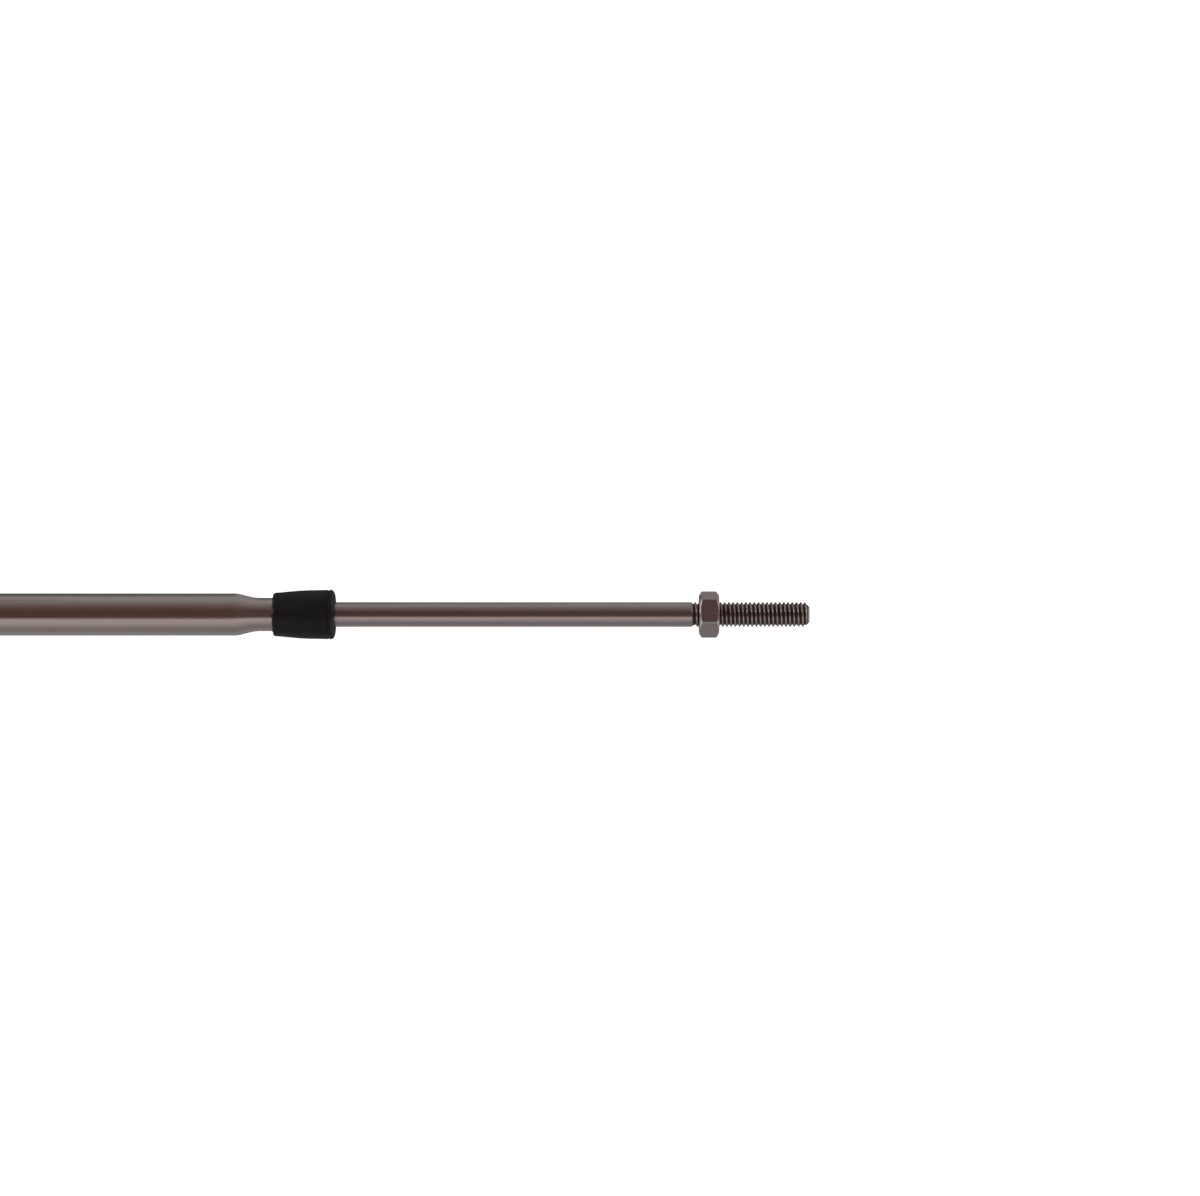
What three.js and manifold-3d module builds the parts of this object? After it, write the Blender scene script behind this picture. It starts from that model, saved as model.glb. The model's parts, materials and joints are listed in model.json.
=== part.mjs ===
// Boat steering cable of the push-pull kind: a threaded stainless rod slides in a support tube, the
// tube swivels on a hub, and a flexible conduit, folded into a tied hank, joins two such ends.
// Millimetres, +Z up. The origin is the centre of the near rod's end face, and +X points out of it.
import * as THREE from 'three';
import { mergeVertices } from 'three/addons/utils/BufferGeometryUtils.js';
import Module from 'manifold-3d';

const wasm = await Module();
wasm.setup();

// Fits between pieces that touch or slide
const fitGap = 0.3;
const roundSides = 20;

// Rod and its thread
const rodDiameter = 5.85;
const rodShown = 84.9;
const rodEdge = 0.35;
const threadLength = 27.5;
const threadPitch = 1;
const threadMajor = 5.9;
const threadMinor = 4.8;
const threadChamfer = 0.8;
const threadSides = 10;
const stroke = 76.2;
const rodBackGap = 2.8;

// Nut on the thread
const nutAcrossFlats = 9.8;
const nutThickness = 4.7;
const nutChamfer = 0.45;
const nutEntry = 0.25;
const nutFromTip = 21.4;
const nutTurn = THREE.MathUtils.degToRad(-11);

// Support tube, drawn down to a neck in front and to a ball behind
const tubeDiameter = 10;
const tubeWall = 1;
const tubeBody = 104.5;
const tubeCone = 4.3;
const neckDiameter = 7.9;
const neckLength = 15.7;
const stemDiameter = 6.4;
const stemBore = 3.6;
const stemLength = 9;
const stemCone = 4;
const ballDiameter = 10;
const ballSteps = 5;

// Rubber wiper over the neck
const wiperLength = 14.8;
const wiperBack = 10.3;
const wiperWaist = 10.8;
const wiperShoulder = 11.4;
const wiperLip = 11.85;
const wiperNose = 10.1;
const wiperBeyondNeck = 3.1;

// Hub that holds the ball and is crimped on the conduit
const socketWall = 1;
const socketLip = 3;
const hubDiameter = 15;
const hubFront = 2;
const hubLength = 47;
const clampGrooveAt = 9;
const clampGrooveWidth = 4;
const clampGrooveDiameter = 12.4;
const crimpAt = 20;
const crimpDiameter = 13.8;
const crimpRingDepth = 0.5;
const crimpRingWidth = 2.4;
const crimpRings = 3;
const hubEdge = 0.8;
const coreBore = 5.2;
const conduitSeat = 14;

// Rubber boot between the hub and the tube
const bootWall = 0.8;
const bootBehindBall = 0.5;
const bootLength = 24;
const bootFold = 1;
const bootFolds = 3;
const bootCuff = 5;

// Conduit and the hank that it is folded into
const conduitDiameter = 9.5;
const conduitSides = 8;
const laneGap = 0.1;
const laneCount = 4;
const outerTurn = 53.5;
const hankFromTip = 306;
const hankRun = 142.4;
const hankEdge = 3.4;
const turnSteps = 14;
const climbRun = 62;

// Nylon ties round the hank
const tieGap = 0.4;
const tieThickness = 1.1;
const tieWidth = 4.8;
const tieHead = new THREE.Vector3(6.4, 6, 4);
const tieSink = 0.6;
const tieSteps = 24;

// Where the far fitting lies, and how far out of the near one
const farTipAt = -196;

// Centreline of the conduit between the near hub and the hank
const nearLeadPoints = [
  [-254.3, 0, 0],
  [-270, 0, 0],
  [-287, 0, 0],
  [-293, 0, -0.2],
  [-300, 0, -0.9],
  [-305.7, 0, -1.25],
];

// Centreline of the last turn, which climbs onto the hank and runs back to the far hub
const farLeadPoints = [
  [-386.7, 28.8, -1.25],
  [-394, 28.8, -0.8],
  [-403, 28.8, 0.6],
  [-412, 28.8, 2.5],
  [-421, 28.8, 4.8],
  [-430, 28.8, 6.9],
  [-439, 28.8, 8.3],
  [-448.4, 28.8, 8.9],
  [-457.0, 30.0, 9.0],
  [-465.0, 33.3, 9.0],
  [-471.6, 38.4, 9.0],
  [-476.7, 45.0, 9.0],
  [-479.6, 52.6, 9.0],
  [-480.3, 60.7, 9.0],
  [-479.0, 68.6, 9.0],
  [-475.6, 75.9, 9.0],
  [-470.4, 82.4, 9.1],
  [-463.5, 87.6, 9.3],
  [-455.4, 91.1, 9.7],
  [-446.5, 92.5, 10.2],
  [-436, 92.6, 10.8],
  [-424, 92.6, 11.2],
  [-407, 92.6, 11.3],
  [-390, 92.6, 11.3],
  [-374.1, 92.6, 11.3],
];

// Where the ties stand along the cable
const bottomTiesAt = [-328, -366];
const hubTieAt = -396;
const leadTieAt = -414;

const materials = {
  rod: { color: 0x8d857f, metalness: 1, roughness: 0.3 },
  nut: { color: 0x857c77, metalness: 1, roughness: 0.34 },
  tube: { color: 0x8a827c, metalness: 1, roughness: 0.32 },
  hub: { color: 0x8f8a86, metalness: 1, roughness: 0.38 },
  rubber: { color: 0x1b1b1d, metalness: 0, roughness: 0.7 },
  conduit: { color: 0x17181a, metalness: 0, roughness: 0.55 },
  tie: { color: 0x101112, metalness: 0, roughness: 0.5 },
};

// Places that follow from the sizes. A fitting's own origin is the ball's centre, on the tube's axis.
const lanePitch = conduitDiameter + laneGap;
const neckStart = tubeBody + tubeCone;
const tubeMouth = neckStart + neckLength;
const wiperFront = tubeMouth + wiperBeyondNeck;
const wiperRear = wiperFront - wiperLength;
const rodShoulder = wiperFront + rodShown;
const rodTip = rodShoulder + threadLength;
const boreBack = stemLength + stemCone + tubeWall;
const rodEnd = stemLength + tubeWall + rodBackGap + stroke;
const nutFront = rodTip - nutFromTip;
const ballRadius = ballDiameter / 2;
const socketRadius = ballRadius + fitGap;
const socketOutside = socketRadius + socketWall;
const bootInside = socketOutside + fitGap;
const hubRadius = hubDiameter / 2;
const conduitRadius = conduitDiameter / 2;
const conduitHeight = conduitRadius + tieGap + tieThickness - hubRadius;
const hankTop = conduitHeight + conduitRadius;
const farAxis = new THREE.Vector3(
  farTipAt - rodTip + stroke,
  2 * outerTurn - 1.5 * lanePitch,
  hankTop + fitGap + hubRadius,
);

function meshOf(name, geometry, finish) {
  const mesh = new THREE.Mesh(geometry, new THREE.MeshStandardMaterial(finish));
  mesh.name = name;
  return mesh;
}

function solidOf(geometry) {
  const bare = geometry.clone();
  bare.deleteAttribute('normal');
  bare.deleteAttribute('uv');
  const merged = mergeVertices(bare, 1e-5);
  return new wasm.Manifold(
    new wasm.Mesh({
      numProp: 3,
      vertProperties: new Float32Array(merged.attributes.position.array),
      triVerts: new Uint32Array(merged.index.array),
    }),
  );
}

function geometryOf(solid) {
  const { vertProperties, triVerts } = solid.getMesh();
  const geometry = new THREE.BufferGeometry();
  geometry.setAttribute('position', new THREE.BufferAttribute(vertProperties, 3));
  geometry.setIndex(new THREE.BufferAttribute(triVerts, 1));
  geometry.computeVertexNormals();
  return geometry;
}

// A profile of [x, radius] points turned about the X axis. It closes on itself or ends on the axis.
function turned(profile, sides = roundSides) {
  const points = profile.map(([x, radius]) => new THREE.Vector2(radius, x));
  const geometry = new THREE.LatheGeometry(points, sides);
  geometry.rotateZ(-Math.PI / 2);
  return geometry;
}

function closed(profile) {
  return [...profile, profile[0]];
}

// Points of an arc about [x, radius], with angles from the +X axis towards the outside
function arc([x, radius], size, from, to, steps) {
  return Array.from({ length: steps + 1 }, (_, i) => {
    const angle = from + ((to - from) * i) / steps;
    return [x + size * Math.cos(angle), radius + size * Math.sin(angle)];
  });
}

// The solid inside a right-hand thread, a grid of columns that each stand one step of the helix on. A
// column past the last is the first one a whole pitch further, and both ragged ends close on the axis.
function threadCore(majorRadius, minorRadius, start, length) {
  const crest = threadPitch / 8;
  const flank = (threadPitch - crest) / 2;
  const profile = [
    [0, minorRadius],
    [flank, majorRadius],
    [flank + crest, majorRadius],
  ];
  const rows = (Math.ceil(length / threadPitch) + 1) * profile.length;
  const at = (column, row) => {
    const turns = Math.floor(column / threadSides);
    return (column % threadSides) * rows + row + turns * profile.length;
  };
  const positions = [];
  for (let column = 0; column < threadSides; column += 1) {
    const share = column / threadSides;
    const [up, side] = [Math.cos(2 * Math.PI * share), Math.sin(2 * Math.PI * share)];
    for (let row = 0; row < rows; row += 1) {
      const [along, radius] = profile[row % profile.length];
      const turns = Math.floor(row / profile.length) + share;
      positions.push(start + along + turns * threadPitch, radius * up, radius * side);
    }
  }
  const triangles = [];
  const lastRow = rows - 1 - profile.length;
  for (let column = 0; column < threadSides; column += 1) {
    const end = column === threadSides - 1 ? lastRow : rows - 1;
    for (let row = 0; row < end; row += 1) {
      const [a, b] = [at(column, row), at(column + 1, row)];
      const [c, d] = [at(column, row + 1), at(column + 1, row + 1)];
      triangles.push(a, b, c, b, d, c);
    }
  }
  const startLoop = [];
  const endLoop = [];
  for (let column = 0; column < threadSides; column += 1) {
    startLoop.push(at(column, 0));
    endLoop.push(at(column, rows - 1));
  }
  for (let step = 0; step < profile.length; step += 1) {
    startLoop.push(at(0, profile.length - step));
    endLoop.push(at(threadSides - 1, rows - 2 - step));
  }
  const startPoint = positions.length / 3;
  positions.push(start - threadPitch, 0, 0);
  positions.push(start + (rows / profile.length + 2) * threadPitch, 0, 0);
  startLoop.forEach((from, i) => {
    triangles.push(startPoint, startLoop[(i + 1) % startLoop.length], from);
  });
  endLoop.forEach((from, i) => {
    triangles.push(startPoint + 1, from, endLoop[(i + 1) % endLoop.length]);
  });
  const geometry = new THREE.BufferGeometry();
  geometry.setAttribute('position', new THREE.Float32BufferAttribute(positions, 3));
  geometry.setIndex(triangles);
  return solidOf(geometry);
}

// Rod: a round bar with a chamfered shoulder and a threaded end
function makeRod() {
  const radius = rodDiameter / 2;
  const major = threadMajor / 2;
  const minor = threadMinor / 2;
  const clear = major + fitGap / 3;
  const overlap = 2 * threadPitch;
  const bar = solidOf(turned([
    [rodEnd, 0],
    [rodEnd, radius - rodEdge],
    [rodEnd + rodEdge, radius],
    [rodShoulder - rodEdge, radius],
    [rodShoulder, radius - rodEdge],
    [rodShoulder, 0],
  ]));
  const envelope = solidOf(turned([
    [rodShoulder - threadPitch, 0],
    [rodShoulder - threadPitch, minor - rodEdge],
    [rodShoulder, minor - rodEdge],
    [rodShoulder + 2 * rodEdge, clear],
    [rodTip - threadChamfer, clear],
    [rodTip, clear - threadChamfer],
    [rodTip, 0],
  ]));
  const thread = threadCore(major, minor, rodShoulder - overlap, threadLength + 2 * overlap);
  return geometryOf(bar.add(thread.intersect(envelope)));
}

// Nut: a hexagon with its corners turned off on both faces, round a bore that clears the rod's thread
function makeNut() {
  const start = nutFront - nutThickness;
  const corner = nutAcrossFlats / Math.sqrt(3);
  const hexagon = new THREE.CylinderGeometry(corner, corner, nutThickness, 6);
  hexagon.rotateZ(-Math.PI / 2);
  hexagon.rotateX(Math.PI / 2 + nutTurn);
  hexagon.translate(start + nutThickness / 2, 0, 0);
  const fallen = nutChamfer / Math.tan(Math.PI / 6);
  const bore = threadMajor / 2 + fitGap;
  const turnedBlank = turned(closed([
    [nutFront, bore + nutEntry],
    [nutFront - nutEntry, bore],
    [start + nutEntry, bore],
    [start, bore + nutEntry],
    [start, corner - fallen],
    [start + nutChamfer, corner],
    [nutFront - nutChamfer, corner],
    [nutFront, corner - fallen],
  ]));
  return geometryOf(solidOf(hexagon).intersect(solidOf(turnedBlank)));
}

// Tube: a ball and stem behind, the body, and a neck in front that the rod slides in
function makeTube() {
  const radius = tubeDiameter / 2;
  const bore = radius - tubeWall;
  const neck = neckDiameter / 2;
  const neckBore = rodDiameter / 2 + fitGap;
  const stem = stemDiameter / 2;
  const core = stemBore / 2;
  const ballBack = Math.sqrt(ballRadius ** 2 - core ** 2);
  const ballAngle = Math.atan2(core, -ballBack);
  const stemAngle = Math.asin(stem / ballRadius);
  return turned(closed([
    [tubeMouth, neckBore],
    [neckStart, neckBore],
    [tubeBody, bore],
    [boreBack, bore],
    [stemLength + tubeWall, core],
    ...arc([0, 0], ballRadius, ballAngle, stemAngle, ballSteps),
    [stemLength, stem],
    [stemLength + stemCone, radius],
    [tubeBody, radius],
    [neckStart, neck],
    [tubeMouth, neck],
  ]));
}

// Wiper: a rubber sleeve that grips the neck, swells to a lip and closes on the rod
function makeWiper() {
  const grip = neckDiameter / 2 + fitGap;
  const bore = rodDiameter / 2 + fitGap;
  return turned(closed([
    [wiperRear, grip],
    [wiperRear, wiperBack / 2 - 0.3],
    [wiperRear + 0.35, wiperBack / 2],
    [wiperRear + 3, wiperWaist / 2 - 0.05],
    [wiperRear + 5.5, wiperWaist / 2 + 0.15],
    [wiperRear + 8.5, wiperShoulder / 2],
    [wiperRear + 12.2, wiperLip / 2 - 0.12],
    [wiperFront - 1.3, wiperLip / 2],
    [wiperFront - 0.55, wiperLip / 2 - 0.15],
    [wiperFront, wiperNose / 2],
    [wiperFront, bore + 0.4],
    [wiperFront - 0.5, bore],
    [tubeMouth + fitGap, bore],
    [tubeMouth + fitGap, grip],
  ]));
}

// Hub: the socket that holds the ball, a flange with the clamp groove, and the sleeve crimped on the conduit
function makeHub() {
  const core = coreBore / 2;
  const seat = conduitRadius + fitGap;
  const groove = clampGrooveDiameter / 2;
  const crimp = crimpDiameter / 2;
  const ring = crimp - crimpRingDepth;
  const rings = [];
  const free = hubLength - crimpAt - crimpRings * crimpRingWidth;
  const between = free / (crimpRings + 1);
  for (let i = 0; i < crimpRings; i += 1) {
    const at = -crimpAt - between * (i + 1) - crimpRingWidth * i;
    rings.push([at, crimp], [at - crimpRingDepth, ring]);
    rings.push([at - crimpRingWidth + crimpRingDepth, ring], [at - crimpRingWidth, crimp]);
  }
  const inside = arc(
    [0, 0],
    socketRadius,
    Math.acos(socketLip / socketRadius),
    Math.PI - Math.asin(core / socketRadius),
    ballSteps,
  );
  const outside = arc([0, 0], socketOutside, Math.PI / 2, Math.acos(socketLip / socketOutside), 3);
  return turned(closed([
    ...inside,
    [-conduitSeat, core],
    [-conduitSeat, seat],
    [-hubLength, seat],
    [-hubLength, crimp - hubEdge],
    [-hubLength + hubEdge, crimp],
    ...rings.reverse(),
    [-crimpAt, crimp],
    [-crimpAt, hubRadius - hubEdge],
    [-crimpAt + hubEdge, hubRadius],
    [-clampGrooveAt - clampGrooveWidth, hubRadius],
    [-clampGrooveAt - clampGrooveWidth, groove],
    [-clampGrooveAt, groove],
    [-clampGrooveAt, hubRadius],
    [-hubFront - hubEdge, hubRadius],
    [-hubFront, hubRadius - hubEdge],
    [-hubFront, socketOutside],
    ...outside,
  ]));
}

// Boot: a rubber bellows whose back stays round the socket's outside as the tube swivels
function makeBoot() {
  const back = bootInside;
  const skin = back + bootWall;
  const cuff = tubeDiameter / 2 + fitGap;
  const turn = Math.acos(-bootBehindBall / back);
  const open = Math.acos(-bootBehindBall / skin);
  const shut = Math.asin(cuff / back);
  const folds = [];
  const from = bootWall * 4;
  const span = bootLength - bootBehindBall - bootCuff - from;
  const step = span / (2 * bootFolds);
  for (let i = 0; i < 2 * bootFolds; i += 1) {
    const taper = ((skin - cuff - bootWall) * i) / (2 * bootFolds);
    const height = skin - taper - (i % 2 ? 0 : bootFold);
    folds.push([from + step * (i + 0.5), Math.max(height, cuff + bootWall)]);
  }
  const front = bootLength - bootBehindBall;
  return turned(closed([
    ...arc([0, 0], back, shut, turn, 5),
    ...arc([0, 0], skin, open, Math.acos(from / 2 / skin), 3),
    ...folds,
    [front - bootCuff, cuff + bootWall],
    [front, cuff + bootWall],
    [front, cuff],
  ]));
}

function makeFitting(side, pushedIn) {
  const group = new THREE.Group();
  const rod = meshOf(`${side}_rod`, makeRod(), materials.rod);
  const nut = meshOf(`${side}_nut`, makeNut(), materials.nut);
  rod.position.x = -pushedIn;
  nut.position.x = -pushedIn;
  group.add(
    rod,
    nut,
    meshOf(`${side}_wiper`, makeWiper(), materials.rubber),
    meshOf(`${side}_tube`, makeTube(), materials.tube),
    meshOf(`${side}_boot`, makeBoot(), materials.rubber),
    meshOf(`${side}_hub`, makeHub(), materials.hub),
  );
  return group;
}

// A plain tube along a centreline, for the stretches of the conduit outside the hank
function conduitAlong(points, steps) {
  const section = new THREE.Shape();
  section.absarc(0, 0, conduitRadius, 0, 2 * Math.PI);
  const path = new THREE.CatmullRomCurve3(points.map((point) => new THREE.Vector3(...point)));
  return new THREE.ExtrudeGeometry(section, {
    steps,
    curveSegments: conduitSides / 2,
    bevelEnabled: false,
    extrudePath: path,
  });
}

// The outer shape of the hank's turns, one layer high: lanes side by side, round turns at both ends.
// Its outline starts where the near lead enters, and its inner lane ends where the last turn climbs.
function makeHank() {
  const right = -hankFromTip;
  const left = right - hankRun;
  const middle = outerTurn;
  const rightMiddle = outerTurn + lanePitch / 2;
  const outerRight = outerTurn - lanePitch / 2 + conduitRadius;
  const innerLeft = outerTurn - (laneCount - 2) * lanePitch - conduitRadius;
  const innerRight = outerTurn - (laneCount - 1.5) * lanePitch - conduitRadius;
  const innerLane = (laneCount - 1) * lanePitch;
  const climbAt = left + climbRun;
  const [down, up] = [-Math.PI / 2, Math.PI / 2];
  const outline = new THREE.Shape();
  outline.moveTo(right, -conduitRadius);
  outline.lineTo(left, -conduitRadius);
  outline.absarc(left, middle, outerTurn + conduitRadius, down, up, true);
  outline.absarc(right, rightMiddle, outerRight, up, down, true);
  const hole = new THREE.Path();
  hole.moveTo(left, middle - innerLeft);
  hole.lineTo(climbAt, middle - innerLeft);
  hole.lineTo(climbAt, innerLane + conduitRadius);
  hole.absarc(right, rightMiddle, innerRight, down, up, false);
  hole.absarc(left, middle, innerLeft, up, 3 * up, false);
  outline.holes.push(hole);
  const geometry = new THREE.ExtrudeGeometry(outline, {
    depth: conduitDiameter - 2 * hankEdge,
    curveSegments: turnSteps,
    bevelThickness: hankEdge,
    bevelSize: hankEdge,
    bevelOffset: -hankEdge,
    bevelSegments: 1,
  });
  geometry.translate(0, 0, conduitHeight - conduitRadius + hankEdge);
  return geometry;
}

// Points of the tightest outline round circles [y, z, radius] that keeps a margin from them
function outlineRound(circles, margin) {
  const points = circles.flatMap(([y, z, radius]) =>
    Array.from({ length: tieSteps }, (_, i) => {
      const angle = (2 * Math.PI * i) / tieSteps;
      return [y + (radius + margin) * Math.cos(angle), z + (radius + margin) * Math.sin(angle)];
    }),
  );
  points.sort((a, b) => a[0] - b[0] || a[1] - b[1]);
  const halfOf = (ordered) => {
    const hull = [];
    ordered.forEach((point) => {
      while (hull.length > 1 && turnOf(hull.at(-2), hull.at(-1), point) <= 1e-9) hull.pop();
      hull.push(point);
    });
    return hull.slice(0, -1);
  };
  return [...halfOf(points), ...halfOf([...points].reverse())].map(([y, z]) => new THREE.Vector2(y, z));
}

function turnOf(a, b, c) {
  return (b[0] - a[0]) * (c[1] - a[1]) - (b[1] - a[1]) * (c[0] - a[0]);
}

// Tie: a nylon band drawn round circles [y, z, radius], with its head on top
function makeTie(x, circles) {
  const outer = outlineRound(circles, tieGap + tieThickness);
  const band = new THREE.Shape(outer);
  band.holes.push(new THREE.Path(outlineRound(circles, tieGap)));
  const geometry = new THREE.ExtrudeGeometry(band, { depth: tieWidth, bevelEnabled: false });
  const turn = new THREE.Matrix4().makeBasis(
    new THREE.Vector3(0, 1, 0),
    new THREE.Vector3(0, 0, 1),
    new THREE.Vector3(1, 0, 0),
  );
  geometry.applyMatrix4(turn);
  geometry.translate(x - tieWidth / 2, 0, 0);
  const top = Math.max(...outer.map((point) => point.y));
  const onTop = outer.filter((point) => point.y > top - 1e-3);
  const middle = onTop.reduce((sum, point) => sum + point.x, 0) / onTop.length;
  const head = new THREE.BoxGeometry(tieHead.x, tieHead.y, tieHead.z);
  head.translate(x, middle, top - tieSink + tieHead.z / 2);
  return geometryOf(solidOf(geometry).add(solidOf(head)));
}

function lanes(heights) {
  return heights.map((y) => [y, conduitHeight, conduitRadius]);
}

const bottomLanes = Array.from({ length: laneCount }, (_, i) => i * lanePitch);
const topLanes = bottomLanes.slice(0, -1).map((y) => 2 * outerTurn - y);

const cable = new THREE.Group();
const near = makeFitting('near', 0);
near.position.x = -rodTip;
const far = makeFitting('far', stroke);
far.position.copy(farAxis);
cable.add(near, far);
cable.add(
  meshOf('conduit_near_lead', conduitAlong(nearLeadPoints, 8), materials.conduit),
  meshOf('conduit_hank', makeHank(), materials.conduit),
  meshOf('conduit_far_lead', conduitAlong(farLeadPoints, 36), materials.conduit),
);
bottomTiesAt.forEach((x, i) => {
  cable.add(meshOf(`hank_tie_${i + 1}`, makeTie(x, lanes(bottomLanes)), materials.tie));
});
cable.add(
  meshOf('hank_tie_3', makeTie(hubTieAt, [...lanes(topLanes), [farAxis.y, farAxis.z, crimpDiameter / 2]]), materials.tie),
  meshOf('hank_tie_4', makeTie(leadTieAt, [...lanes(topLanes), [farAxis.y, farAxis.z, conduitRadius]]), materials.tie),
);

export default cable;
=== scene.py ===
"""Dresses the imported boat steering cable.

Two threaded rods slide in swivelling steel sleeves with rubber wipers, and a black conduit folded into a
tied hank joins them. Lengths are in metres, in the frame's own axes: +X out of the near rod, +Z up.
"""
import json
import math

import bpy
import numpy as np
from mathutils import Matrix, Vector


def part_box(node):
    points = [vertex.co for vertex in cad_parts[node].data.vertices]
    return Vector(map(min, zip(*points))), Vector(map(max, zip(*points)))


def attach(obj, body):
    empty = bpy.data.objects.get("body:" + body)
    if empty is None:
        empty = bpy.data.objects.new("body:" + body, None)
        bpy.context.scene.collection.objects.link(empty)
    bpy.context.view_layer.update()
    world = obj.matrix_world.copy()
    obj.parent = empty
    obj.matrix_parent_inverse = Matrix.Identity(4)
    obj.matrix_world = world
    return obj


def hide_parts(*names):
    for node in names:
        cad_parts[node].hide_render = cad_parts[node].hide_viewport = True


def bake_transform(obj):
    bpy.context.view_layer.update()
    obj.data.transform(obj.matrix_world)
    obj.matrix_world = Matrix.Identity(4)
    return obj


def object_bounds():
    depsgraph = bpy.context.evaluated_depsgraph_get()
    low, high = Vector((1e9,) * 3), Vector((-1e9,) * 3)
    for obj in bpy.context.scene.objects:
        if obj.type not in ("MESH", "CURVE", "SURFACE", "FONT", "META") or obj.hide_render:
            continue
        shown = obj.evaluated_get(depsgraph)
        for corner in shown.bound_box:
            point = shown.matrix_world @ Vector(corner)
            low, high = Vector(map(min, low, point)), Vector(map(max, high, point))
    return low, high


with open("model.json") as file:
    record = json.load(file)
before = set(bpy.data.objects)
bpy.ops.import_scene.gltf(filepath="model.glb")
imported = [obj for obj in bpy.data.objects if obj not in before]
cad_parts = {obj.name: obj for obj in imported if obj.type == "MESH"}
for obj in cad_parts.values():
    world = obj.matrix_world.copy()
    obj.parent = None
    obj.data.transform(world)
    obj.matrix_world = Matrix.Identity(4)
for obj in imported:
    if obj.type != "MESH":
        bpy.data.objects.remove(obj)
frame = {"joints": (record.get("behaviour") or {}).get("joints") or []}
CAD_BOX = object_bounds()
MM = 0.001
TURN = 2 * math.pi

# The photograph's view: straight down, with the image's top towards +Y
IMAGE_WIDTH = 1200
PIXELS_PER_METRE = 4220
CAMERA_HEIGHT = 0.7
ROD_TIP_PIXEL = (809.2, 614.5)
IMAGE_CENTRE = (600, 598)
SENSOR = 36

# Sizes of the steel ends
ROD_RADIUS = 2.925 * MM
ROD_EDGE = 0.35 * MM
THREAD_PITCH = 1 * MM
THREAD_MAJOR = 2.95 * MM
THREAD_MINOR = 2.42 * MM
THREAD_LENGTH = 27.5 * MM
TIP_CHAMFER = 1.1 * MM
TUBE_WALL = 1 * MM
STEM_RADIUS = 3.2 * MM
STEM_BORE = 1.8 * MM
STEM_LENGTH = 9 * MM
STEM_CONE = 4 * MM
BALL_RADIUS = 5 * MM
NECK_RADIUS = 3.95 * MM
NECK_LENGTH = 15.7 * MM
TUBE_CONE = 4.3 * MM
FIT = 0.12 * MM
NUT_FLATS = 4.9 * MM
NUT_TURN = math.radians(-11)
NUT_EDGE = 0.32 * MM
THREAD_SOFT = 0.05 * MM

# Noise scales of the materials per metre, along X, Y and Z
DRAWN_MARKS = (18, 2600, 2600)
SMALL_STAINS = (160, 260, 260)

# The conduit and its hank
CONDUIT = 9.5 * MM
LANE_PITCH = 9.6 * MM
LANES = 4
OUTER_TURN = 53.5 * MM
LANE_HEIGHT = -1.25 * MM
HANK_RIGHT = -306 * MM
HANK_RUN = 142.4 * MM
CLIMB_RUN = 62 * MM
STATION = 2.5 * MM
CONDUIT_SIDES = 28

# Centreline of the conduit between the near hub and the hank, in millimetres
NEAR_LEAD = [
    (-266, 0, 0),
    (-276, 0, 0),
    (-287, 0, 0),
    (-293, 0, -0.2),
    (-300, 0, -0.9),
    (-306, 0, -1.25),
]

# Centreline of the last turn, which climbs onto the hank and runs back to the far hub
FAR_LEAD = [
    (-394, 28.8, -0.8),
    (-403, 28.8, 0.6),
    (-412, 28.8, 2.5),
    (-421, 28.8, 4.8),
    (-430, 28.8, 6.9),
    (-439, 28.8, 8.3),
    (-448.4, 28.8, 8.9),
    (-457.0, 30.0, 9.0),
    (-465.0, 33.3, 9.0),
    (-471.6, 38.4, 9.0),
    (-476.7, 45.0, 9.0),
    (-479.6, 52.6, 9.0),
    (-480.3, 60.7, 9.0),
    (-479.0, 68.6, 9.0),
    (-475.6, 75.9, 9.0),
    (-470.4, 82.4, 9.1),
    (-463.5, 87.6, 9.3),
    (-455.4, 91.1, 9.7),
    (-446.5, 92.5, 10.2),
    (-436, 92.6, 10.8),
    (-424, 92.6, 11.2),
    (-407, 92.6, 11.3),
    (-396, 92.6, 11.3),
    (-386, 92.6, 11.3),
]


def make_camera():
    """A camera that looks straight down, so far off that one metre at the axis is PIXELS_PER_METRE pixels."""
    data = bpy.data.cameras.new("camera")
    data.sensor_width = SENSOR
    data.lens = SENSOR * CAMERA_HEIGHT * PIXELS_PER_METRE / IMAGE_WIDTH
    data.clip_start = 0.01
    camera = bpy.data.objects.new("camera", data)
    bpy.context.collection.objects.link(camera)
    across = (IMAGE_CENTRE[0] - ROD_TIP_PIXEL[0]) / PIXELS_PER_METRE
    up = (ROD_TIP_PIXEL[1] - IMAGE_CENTRE[1]) / PIXELS_PER_METRE
    camera.location = (across, up, CAMERA_HEIGHT)
    bpy.context.scene.camera = camera


def grid_faces(rows, columns, wrap):
    """Quads between neighbouring rows of a grid whose columns always join round; wrap joins the rows too."""
    last = rows if wrap else rows - 1
    row, column = np.meshgrid(np.arange(last), np.arange(columns), indexing="ij")
    below, beside = (row + 1) % rows, (column + 1) % columns
    corners = [(row, column), (row, beside), (below, beside), (below, column)]
    return np.stack([r * columns + c for r, c in corners], axis=-1).reshape(-1, 4)


def pole_fans(rows, columns):
    """Triangles from the two pole points, which follow the grid's own points, to its first and last row."""
    column = np.arange(columns)
    beside = (column + 1) % columns
    pole = np.full(columns, rows * columns)
    last = (rows - 1) * columns
    first_fan = np.stack([pole, beside, column], axis=-1)
    last_fan = np.stack([pole + 1, last + column, last + beside], axis=-1)
    return np.vstack([first_fan, last_fan])


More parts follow.
